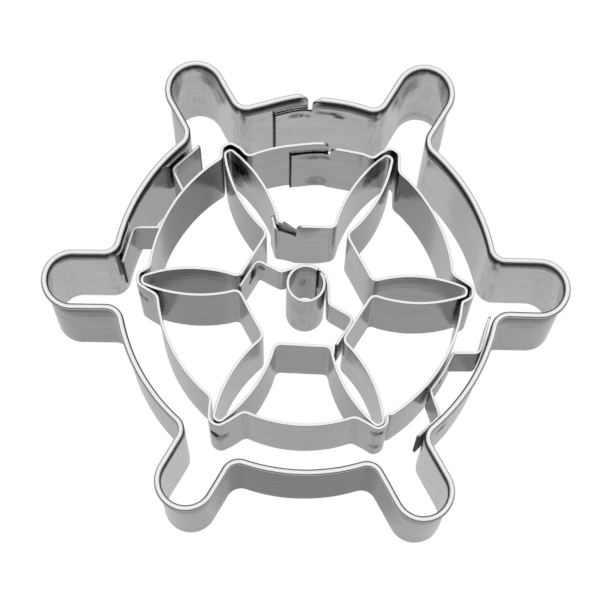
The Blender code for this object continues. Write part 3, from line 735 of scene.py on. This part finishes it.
def bend(corners, radii):
    """Line through corners, each rounded by an arc of its radius as far as its sides allow.

    The turn t at a corner is the angle from one side to the next, and the arc of radius r starts
    r tan(t / 2) before the corner, at most CORNER_REACH of the shorter side. The arc's points are its
    centre plus the first radius arm turned by shares of t.
    """
    corner = corners[1:-1]
    back, ahead = corners[:-2] - corner, corners[2:] - corner
    turn = np.angle(-ahead / back)
    shorter = CORNER_REACH * np.minimum(np.abs(back), np.abs(ahead))
    reach = np.minimum(radii[1:-1] * np.tan(np.abs(turn) / 2.0), shorter)
    along = -back / np.abs(back)
    start = corner - along * reach
    arm = -1j * np.sign(turn) * along * reach / np.tan(np.maximum(np.abs(turn), 1e-4) / 2.0)
    turned = np.exp(1j * turn[:, None] * np.linspace(0.0, 1.0, ARC_POINTS))
    arcs = (start - arm)[:, None] + arm[:, None] * turned
    return np.concatenate([corners[:1], arcs.ravel(), corners[-1:]])


def spoke_axis(k):
    """Angle of spoke k, counted clockwise from the upper right one."""
    return FIRST_SPOKE - k * 360.0 / SPOKES + SPOKE_LEAN[k]


def bump(k, before, after):
    """Corners and radii of the bump at spoke k, and the angles where it meets the ring's arcs.

    The foot of a bump on an arc of radius R is half = foot half - flare (R - reach) - pinch from the
    spoke's axis, so it lies sqrt(R^2 - half^2) along the axis.
    """
    arcs = np.array([before, after])
    half = BUMP_FOOT_HALF - BUMP_FLARE * (arcs - BUMP_REACH) - np.array(BUMP_FOOT_PINCH[k])
    foot = np.sqrt(arcs ** 2 - half ** 2)
    reach = BUMP_REACH + BUMP_STRETCH[k]
    waist = reach - BUMP_WAIST_DROP
    shape = np.array([
        foot[0] + 1j * half[0], waist + 1j * BUMP_WAIST_HALF, reach + 1j * BUMP_TIP_HALF,
        reach - 1j * BUMP_TIP_HALF, waist - 1j * BUMP_WAIST_HALF, foot[1] - 1j * half[1],
    ])
    radii = np.array([BUMP_FOOT_RADIUS] * 2 + [BUMP_TIP_RADIUS] * 2 + [BUMP_FOOT_RADIUS] * 2)
    spread = np.degrees(np.arctan2(half, foot))
    axis = spoke_axis(k) + BUMP_TURN[k]
    return shape * polar(1.0, axis), radii, axis + spread[0], axis - spread[1]


def ring_line():
    """Centre line of the ring, clockwise from the tongue's end, and the tongue's length.

    An arc of radius R is R + a (1 - s)^2 + b s^2 at share s of its way, with its two spreads a and b.
    """
    radius = RING_RADII[-1]
    tongue = seam_arc(radius, RING_SEAM_DROP, RING_SEAM, RING_SEAM[0], RING_SEAM[2], 0.0)
    corners, radii = [tongue], [np.zeros(len(tongue))]
    leaving = RING_SEAM[2]
    for k in range(SPOKES):
        last = k == SPOKES - 1
        after = radius + LAP - RING_SEAM_DROP if last else RING_RADII[k] + RING_SPREAD[k + 1][0]
        shape, shape_radii, arriving, left_at = bump(k, RING_RADII[k - 1] + RING_SPREAD[k][1], after)
        start = leaving if k == 0 else leaving - BUMP_MARGIN
        run = arc(RING_RADII[k - 1], start, arriving + BUMP_MARGIN)
        share = np.linspace(0.0, 1.0, len(run))
        wider = RING_SPREAD[k][0] * (1.0 - share) ** 2 + RING_SPREAD[k][1] * share ** 2
        run = run * (1.0 + wider / RING_RADII[k - 1])
        corners += [run, shape]
        radii += [np.zeros(len(run)), shape_radii]
        leaving = left_at
    last = seam_arc(radius, RING_SEAM_DROP, RING_SEAM, leaving + 360.0 - BUMP_MARGIN, RING_SEAM[1], LAP)
    corners = np.concatenate(corners + [last])
    radii = np.concatenate(radii + [np.zeros(len(last))])
    keep = np.append(True, np.abs(np.diff(corners)) > 1e-6)
    return bend(corners[keep], radii[keep]), length_of(tongue)


def wall_section(bottom, top):
    """Section of a plain strip whose top edge is at a height for each station: across, height, edges.

    A rectangle as thick as the sheet whose four corners are quarter circles of radius EDGE_ROUND,
    with rows up both sides that lie closer together towards the edges.
    """
    rows = 0.5 - 0.5 * np.cos(np.pi * np.linspace(*STRIP_ROWS))
    half = SHEET / 2.0
    quarter = np.radians(np.linspace(0.0, 90.0, CORNER_ROWS))
    side = half - EDGE_ROUND + EDGE_ROUND * np.cos(quarter)
    rise = EDGE_ROUND * np.sin(quarter) - EDGE_ROUND
    flat = np.zeros(len(rows))
    across = np.concatenate([-side[::-1], flat - half, -side, side[::-1], flat + half, side])
    low, high = np.zeros(CORNER_ROWS), np.ones(2 * CORNER_ROWS)
    share = np.concatenate([low, rows, high, rows[::-1], low])
    lift = np.concatenate([-rise[::-1], flat, rise, rise[::-1], flat, -rise])
    height = bottom + share * (top[:, None] - bottom) + lift
    # Painted highlight along the top edge.
    painted_highlight = (height > top[:, None] - EDGE_ROUND).astype(float)
    # Painted shade along the foot edge.
    painted_shade = (height < bottom + EDGE_ROUND).astype(float)
    return np.broadcast_to(across, height.shape), height, painted_highlight, painted_shade


def ring_section(distance):
    """Section of the ring at each distance: a plain strip whose top edge steps down to the tongue."""
    return wall_section(EMBOSS_DEPTH, lapped_top(distance, ring_tongue, RING_TOP, RING_TONGUE_TOP))


ring, ring_tongue = ring_line()
build_strip("ring_band", "inner_ring_band", ring, corner_stations(length_of(ring), ring_tongue),
            ring_section, RING_MARKS, RING_DULL_AND_SHADE, 2.0, steel("ring_steel", RING_STEEL, 0.06),
            tongue=ring_tongue, ledge=RING_LEDGE)

# Spokes and hub: one strip bent to six hollow petals on the corners of a hexagonal hub. Its ends
# lap on the hub's far side, where the under one is a lower tongue that carries on up the petal's
# wall. The petals' tips are spot-welded into the ring's bumps.
SPOKE_TOP = 20.4
HUB_CORNER = 9.6
PETAL_FOOT_HALF = 1.0
PETAL_FOOT_RADIUS = 1.0
PETAL_TIP_HALF = 0.55
PETAL_SHORT = [0.4, 0.3, 0.0, 0.2, 0.0, 0.15]
PETAL_BULGE = 1.2
SPOKE_TONGUE_TOP = 18.2
SPOKE_TONGUE_FALL = 2.5
SPOKE_TONGUE_FALL_RUN = 2.8
SPOKE_TONGUE_RISE = 2.4
SPOKE_SHOULDER_X = -1.45
SPOKE_FLAP_X = -1.0
SPOKE_FLAP_CUT = 2.4
SPOKE_FLAP_DROP = 5.2
PETAL_ROWS = (0.125, 0.875, 25)
LEAST_TURN = 0.5
HUB_FOOT_LEAN = -0.4
HUB_LEAN_HALF = 3.2
HUB_LEAN_SPAN = (6.0, 12.0)
SPOKE_STEEL = 0.50
SPOKE_DULL_AND_SHADE = (0.4, 0.1)
SPOKE_LEDGE = [(0.0, 2.4, (0.2, 0.2), (1.1, 1.1)), (2.4, 5.3, (0.9, 0.5), (0.5, 0.8))]
SPOKE_MARKS = [
    ("smudge", -1, 0.95, (206.2, 15.8, 2.9, 4.8)),
    ("smudge", -1, 0.85, (204.7, 9.4, 2.6, 4.4)),
    ("burn", -1, 0.78, (206.5, 14.8, 1.5, 2.4)),
    ("burn", -1, 0.78, (207.9, 17.2, 1.1, 1.6)),
    # A matt patch painted paler on the flap's inner face: painted light.
    ("matt_painted_light", -1, 1.0, (220.0, 17.5, 1.8, 3.4)),
    ("smudge", -1, 0.9, (22.0, 17.0, 2.4, 4.0)),
    ("smudge", -1, 0.8, (170.0, 17.2, 0.5, 1.5)),
    # Duller, darker regions of the faces: partly finish and partly painted shade.
    ("dull_and_shade", 1, 0.5, (162.0, 12.0, 8.0, 20.0)),
    ("dull_and_shade", -1, 0.37, (53.0, 12.0, 8.0, 20.0)),
    ("dull_and_shade", -1, 0.7, (175.0, 12.0, 7.0, 20.0)),
]


def petal_foot(k, side):
    """Corner where petal k leaves the hub, on its left (side 1) or right (side -1)."""
    return (HUB_CORNER + 1j * side * PETAL_FOOT_HALF) * polar(1.0, spoke_axis(k))


def petal_reach(k):
    """How far petal k's tip reaches from the axle, inside its bump."""
    return BUMP_REACH + BUMP_STRETCH[k] - LAP - PETAL_SHORT[k]


def petal_wall(k, side, shares):
    """Points up a petal's wall: half width = foot (1 - s) + tip s + bulge 4 s (1 - s) at share s."""
    taper = PETAL_FOOT_HALF * (1.0 - shares) + PETAL_TIP_HALF * shares
    half = taper + PETAL_BULGE * 4.0 * shares * (1.0 - shares)
    along = HUB_CORNER + (petal_reach(k) - HUB_CORNER) * shares
    return (along + 1j * side * half) * polar(1.0, spoke_axis(k))


def petal(k):
    """Corners and radii of petal k, clockwise: foot, wall, tip, wall, foot."""
    shares = np.linspace(*PETAL_ROWS)
    tip = (petal_reach(k) + 1j * PETAL_TIP_HALF * np.array([1.0, -1.0])) * polar(1.0, spoke_axis(k))
    corners = np.concatenate([
        [petal_foot(k, 1)], petal_wall(k, 1, shares), tip,
        petal_wall(k, -1, shares[::-1]), [petal_foot(k, -1)],
    ])
    radii = np.zeros(len(corners))
    radii[[0, -1]] = PETAL_FOOT_RADIUS
    radii[len(shares) + 1:len(shares) + 3] = PETAL_TIP_HALF
    return corners, radii


def offset(corners, distance):
    """Corners moved to the left: along the mean of both sides' normals, over the half turn's cosine."""
    side = np.diff(corners) / np.abs(np.diff(corners))
    before, after = np.append(side[:1], side), np.append(side, side[-1:])
    along = (before + after) / np.abs(before + after)
    stretch = 1.0 / np.maximum(LEAST_TURN, (along * np.conj(after)).real)
    return corners + 1j * along * stretch * distance


def spoke_line():
    """Centre line of the spokes, clockwise from the tongue's end, and the tongue's length.

    The tongue lies in the hub side's line and LAP inside the petal's wall. The flap comes down in the
    wall's line and lies LAP outside the hub side. So the two lines that meet at the petal's foot, the
    hub side along a and the wall down d, have their corners moved by LAP / (a . i d) and LAP / (d . i a).
    """
    foot = petal_foot(SPOKES - 1, -1)
    along = petal_foot(0, 1) - foot
    along = along / abs(along)
    rise = SPOKE_TONGUE_RISE / (petal_reach(SPOKES - 1) - HUB_CORNER)
    wall = petal_wall(SPOKES - 1, -1, np.array([rise, rise / 2.0]))
    down = (foot - wall[-1]) / abs(foot - wall[-1])
    tongue_foot = foot - along * LAP / (np.conj(along) * 1j * down).real
    flap_foot = foot + down * LAP / (np.conj(down) * 1j * along).real
    shoulder = foot + along * (SPOKE_SHOULDER_X - foot.real) / along.real
    flap_end = flap_foot + along * (SPOKE_FLAP_X - flap_foot.real) / along.real
    tongue = np.concatenate([offset(wall, -LAP), [tongue_foot, shoulder]])
    tongue_radii = np.array([0.0, 0.0, PETAL_FOOT_RADIUS, 0.0])
    petals = [petal(k) for k in range(SPOKES)]
    petals[-1][0][-1] = flap_foot
    corners = np.concatenate([tongue] + [corners for corners, _ in petals] + [[flap_end]])
    radii = np.concatenate([tongue_radii] + [radii for _, radii in petals] + [[0.0]])
    return bend(corners, radii), length_of(bend(tongue, tongue_radii))


def spoke_top(distance, tongue):
    """Top edge's height: the tongue falls towards its root, and the flap at the far end is cut off."""
    root = 1.0 - (tongue - distance) / SPOKE_TONGUE_FALL_RUN
    fall = SPOKE_TONGUE_FALL * np.clip(root, 0.0, 1.0) * (distance < tongue - NOTCH_SLANT / 2.0)
    top = lapped_top(distance, tongue, SPOKE_TOP, SPOKE_TONGUE_TOP) - fall
    cut = 1.0 - (distance[-1] - distance) / SPOKE_FLAP_CUT
    return np.minimum(top, SPOKE_TOP - SPOKE_FLAP_DROP * np.maximum(0.0, cut))


def hub_lean(points):
    """Sideways shift of the hub's far side at its foot: the full lean times e to the -(x / half)^4."""
    within = (points.imag > HUB_LEAN_SPAN[0]) * (points.imag < HUB_LEAN_SPAN[1])
    return HUB_FOOT_LEAN * np.exp(-(points.real / HUB_LEAN_HALF) ** 4) * within


def spoke_section(distance):
    """Section of the spokes at each distance: a plain strip with the top edge that spoke_top gives."""
    return wall_section(EMBOSS_DEPTH, spoke_top(distance, spoke_tongue))


spokes, spoke_tongue = spoke_line()
spoke_cuts = [spoke_tongue - SPOKE_TONGUE_FALL_RUN, length_of(spokes) - SPOKE_FLAP_CUT]
build_strip("spokes_and_hub", "spoke_band", spokes,
            np.append(corner_stations(length_of(spokes), spoke_tongue), spoke_cuts),
            spoke_section, SPOKE_MARKS, SPOKE_DULL_AND_SHADE, 3.0, steel("spoke_steel", SPOKE_STEEL, 0.06),
            lean=hub_lean, tongue=spoke_tongue, ledge=SPOKE_LEDGE)

# Tube at the centre: a short strip rolled round into an open tube that prints the axle. A slit is
# left where its ends meet, and the strap that goes round it is spot-welded to its side.
TUBE_CENTRE = 0.02 + 0.31j
TUBE_RADIUS = 2.62
TUBE_SLIT = 0.4
TUBE_SLIT_ANGLE = 45.0
TUBE_STEEL = 0.47
TUBE_DULL_AND_SHADE = (0.1, 0.4)
TUBE_MARKS = [
    ("smudge", -1, 0.9, (13.7, 12.1, 0.5, 1.6)),
    ("dent", 1, 1.0, (13.7, 12.1, 0.8, 0.8)),
]


def level_wall(bottom, top):
    """Section of a plain strip of even height, for any distances."""
    return lambda distance: wall_section(bottom, np.full(len(distance), top))


def tube_line():
    """Centre line of the tube: an arc all round but for the slit."""
    slit = np.degrees(TUBE_SLIT / TUBE_RADIUS)
    return arc(TUBE_RADIUS, TUBE_SLIT_ANGLE - slit / 2.0, TUBE_SLIT_ANGLE + slit / 2.0 - 360.0, TUBE_CENTRE)


build_strip("axle_tube", "centre_tube", tube_line(), [], level_wall(EMBOSS_DEPTH, SPOKE_TOP), TUBE_MARKS,
            TUBE_DULL_AND_SHADE, 4.0, steel("tube_steel", TUBE_STEEL, 0.1))

# Hub strap: a narrower strip between two opposite hub sides. It goes halfway round the tube and
# holds it, and both its ends are bent flat against the hub's inner side and spot-welded there.
HUB_STRAP_BOTTOM = 9.1
HUB_STRAP_HEIGHT = 9.5
HUB_STRAP_TAB = 4.75
HUB_STRAP_NECK = 4.2
HUB_STRAP_NECK_ANGLES = (150.0, -37.0)
HUB_STRAP_BEND = 0.8
# Darker grey: partly the steel's tone and partly painted shade.
HUB_STRAP_STEEL = 0.38
HUB_STRAP_MARKS = [
    ("burn", -1, 1.0, (3.2, 15.8, 0.55, 2.4)),
    ("burn", -1, 0.9, (2.5, 13.5, 0.4, 0.8)),
    ("smudge", -1, 0.9, (3.4, 15.0, 0.9, 2.6)),
    ("smudge", -1, 0.9, (5.2, 16.2, 0.6, 1.0)),
    ("burn", -1, 1.2, (14.8, 14.0, 0.6, 9.0)),
]


def hub_side(k):
    """Middle and clockwise heading of the line that lies LAP inside the hub side after petal k."""
    start, end = offset(np.array([petal_foot(k, -1), petal_foot((k + 1) % SPOKES, 1)]), -LAP)
    return (start + end) / 2.0, (end - start) / abs(end - start)


def hub_strap_line():
    """Centre line of the strap: tab, neck, an arc round the tube, neck, tab.

    A straight line from a neck at distance n touches the arc of radius r at arccos(r / n) from it.
    """
    start, start_along = hub_side(4)
    end, end_along = hub_side(1)
    loop = TUBE_RADIUS + LAP
    spread = np.degrees(np.arccos(loop / HUB_STRAP_NECK))
    neck_in, neck_out = HUB_STRAP_NECK_ANGLES
    corners = np.concatenate([
        [start - start_along * HUB_STRAP_TAB, start, TUBE_CENTRE + polar(HUB_STRAP_NECK, neck_in)],
        arc(loop, neck_in - spread, neck_out + spread, TUBE_CENTRE),
        [TUBE_CENTRE + polar(HUB_STRAP_NECK, neck_out), end, end + end_along * HUB_STRAP_TAB],
    ])
    radii = np.zeros(len(corners))
    radii[[1, 2, -3, -2]] = HUB_STRAP_BEND
    return bend(corners, radii)


build_strip("hub_strap", "hub_bridge_strap", hub_strap_line(), [],
            level_wall(HUB_STRAP_BOTTOM, HUB_STRAP_BOTTOM + HUB_STRAP_HEIGHT),
            HUB_STRAP_MARKS, (0.0, 0.0), 5.0, steel("hub_strap_steel", HUB_STRAP_STEEL, 0.1))

# Side straps: two strips that carry the ring in the band. Each starts as a tab on the band, crosses
# to the ring, lies along it, crosses back and ends as a tab on the band, all spot-welded. The right
# one is the left one turned half round.
SIDE_STRAP_BOTTOM = 7.0
SIDE_STRAP_HEIGHT = 11.0
SIDE_STRAP_BEND = 0.8
SIDE_STRAP_RING_BENDS = (157.2, 141.3)
SIDE_STRAP_TAB_FLARE = 0.15
# Darker grey: partly the steel's tone and partly painted shade.
SIDE_STRAP_STEEL = 0.36
# Name, node, handle before it, turn, tabs' ends, bends at the band, dullness with painted shade, seed,
# marks
SIDE_STRAPS = [
    ("left_strap", "left_bridge_strap", 4, 0.0, (172.5, 126.5), (160.5, 138.0), 0.2, 6.0,
     [("burn", 1, 0.9, (2.6, 16.0, 0.5, 1.6)), ("smudge", 1, 1.0, (2.4, 13.2, 0.5, 2.6))]),
    ("right_strap", "right_bridge_strap", 1, 180.0, (172.5, 127.4), (160.5, 136.8), 0.5, 7.0,
     # The right strap's matt patch is painted paler too: painted light.
     [("burn", 1, 0.8, (13.4, 15.8, 0.4, 2.0)), ("matt_painted_light", 1, 0.8, (22.8, 12.5, 1.6, 8.0))]),
]


def side_strap_line(k, turn, tab_ends, band_bends):
    """Centre line of a strap in the sector after handle k, with all its angles turned by turn."""
    on_band, on_ring = FELLOE_RADII[k] - LAP, RING_RADII[k] + LAP
    tabs = polar(on_band + SIDE_STRAP_TAB_FLARE, np.array(tab_ends) + turn)
    bends = polar(on_band, np.array(band_bends) + turn)
    along_ring = arc(on_ring, SIDE_STRAP_RING_BENDS[0] + turn, SIDE_STRAP_RING_BENDS[1] + turn)
    corners = np.concatenate([[tabs[0], bends[0]], along_ring, [bends[1], tabs[1]]])
    radii = np.zeros(len(corners))
    radii[[1, 2, -3, -2]] = SIDE_STRAP_BEND
    return bend(corners, radii)


for name, node, k, turn, tab_ends, band_bends, dull_and_shade, seed, table in SIDE_STRAPS:
    build_strip(name, node, side_strap_line(k, turn, tab_ends, band_bends), [],
                level_wall(SIDE_STRAP_BOTTOM, SIDE_STRAP_BOTTOM + SIDE_STRAP_HEIGHT),
                table, (dull_and_shade, dull_and_shade), seed, steel(name + "_steel", SIDE_STRAP_STEEL, 0.1))

# Studio: a plain white light table as the floor, a broad soft sky overhead that darkens towards the
# horizon, and the camera that looks down from the front. The camera sees the table as plain white.
FLOOR_SIZE = 3000.0
TABLE_ALBEDO = 0.25
TABLE_GLOW = 0.58
TABLE_GLOW_EDGE = (60.0, 140.0)
SKY_SLANT = (0.05, 0.38, 1.0)
SKY_TOP = 1.15
SKY_HORIZON = 0.12
SKY_LEVELS = (0.2, 0.98)
CAMERA_PLACE = (-2.423, -85.792, 337.151)
CAMERA_TURN = (14.856, -0.568, 1.031)
CAMERA_LENS = 137.4
CAMERA_SHIFT = -0.0014


def build_floor():
    """Floor: a square of white acrylic, lit from below round the cutter."""
    half = FLOOR_SIZE / 2.0 * MM
    mesh = bpy.data.meshes.new("floor")
    corners = half * np.array([(-1, -1, 0), (1, -1, 0), (1, 1, 0), (-1, 1, 0)])
    mesh.from_pydata(corners, [], [(0, 1, 2, 3)])
    floor = bpy.data.objects.new("floor", mesh)
    bpy.context.scene.collection.objects.link(floor)
    material = bpy.data.materials.new("light_table")
    material.use_nodes = True
    tree = material.node_tree
    tree.nodes.remove(tree.nodes["Principled BSDF"])
    place = add(tree, "ShaderNodeTexCoord").outputs["Object"]
    radius = add(tree, "ShaderNodeVectorMath", [(0, place)], operation="LENGTH").outputs["Value"]
    glow = range_of(tree, radius, TABLE_GLOW_EDGE[0] * MM, TABLE_GLOW_EDGE[1] * MM, TABLE_GLOW, 0.0)
    acrylic = add(tree, "ShaderNodeBsdfDiffuse", [("Color", grey_of(TABLE_ALBEDO))])
    lit = add(tree, "ShaderNodeEmission", [("Strength", glow)])
    table = add(tree, "ShaderNodeAddShader", [(0, acrylic.outputs[0]), (1, lit.outputs[0])])
    white = add(tree, "ShaderNodeEmission", [("Strength", 1.0)])
    seen = add(tree, "ShaderNodeLightPath").outputs["Is Camera Ray"]
    both = add(tree, "ShaderNodeMixShader", [(0, seen), (1, table.outputs[0]), (2, white.outputs[0])])
    tree.links.new(both.outputs[0], tree.nodes["Material Output"].inputs["Surface"])
    mesh.materials.append(material)


def build_sky():
    """Surroundings: strength rises smoothly with how far a direction is up, and a little with +Y."""
    world = bpy.data.worlds.new("studio")
    bpy.context.scene.world = world
    world.use_nodes = True
    tree = world.node_tree
    direction = add(tree, "ShaderNodeTexCoord").outputs["Generated"]
    terms = [(0, direction), (1, SKY_SLANT)]
    level = add(tree, "ShaderNodeVectorMath", terms, operation="DOT_PRODUCT").outputs["Value"]
    steps = [(0, level), (1, SKY_LEVELS[0]), (2, SKY_LEVELS[1]), (3, SKY_HORIZON), (4, SKY_TOP)]
    rise = add(tree, "ShaderNodeMapRange", steps, interpolation_type="SMOOTHSTEP")
    seen = add(tree, "ShaderNodeLightPath").outputs["Is Camera Ray"]
    background = tree.nodes["Background"].inputs
    background["Color"].default_value = grey_of(1.0)
    tree.links.new(math_of(tree, "MAXIMUM", rise.outputs[0], seen), background["Strength"])


def build_camera():
    """Camera at the height and angle of the reference view."""
    data = bpy.data.cameras.new("camera")
    data.lens = CAMERA_LENS
    data.shift_y = CAMERA_SHIFT
    data.clip_start = 0.01
    camera = bpy.data.objects.new("camera", data)
    camera.location = np.array(CAMERA_PLACE) * MM
    camera.rotation_euler = np.radians(CAMERA_TURN)
    bpy.context.scene.collection.objects.link(camera)
    bpy.context.scene.camera = camera


build_floor()
build_sky()
build_camera()
bpy.context.scene.view_settings.view_transform = "Standard"
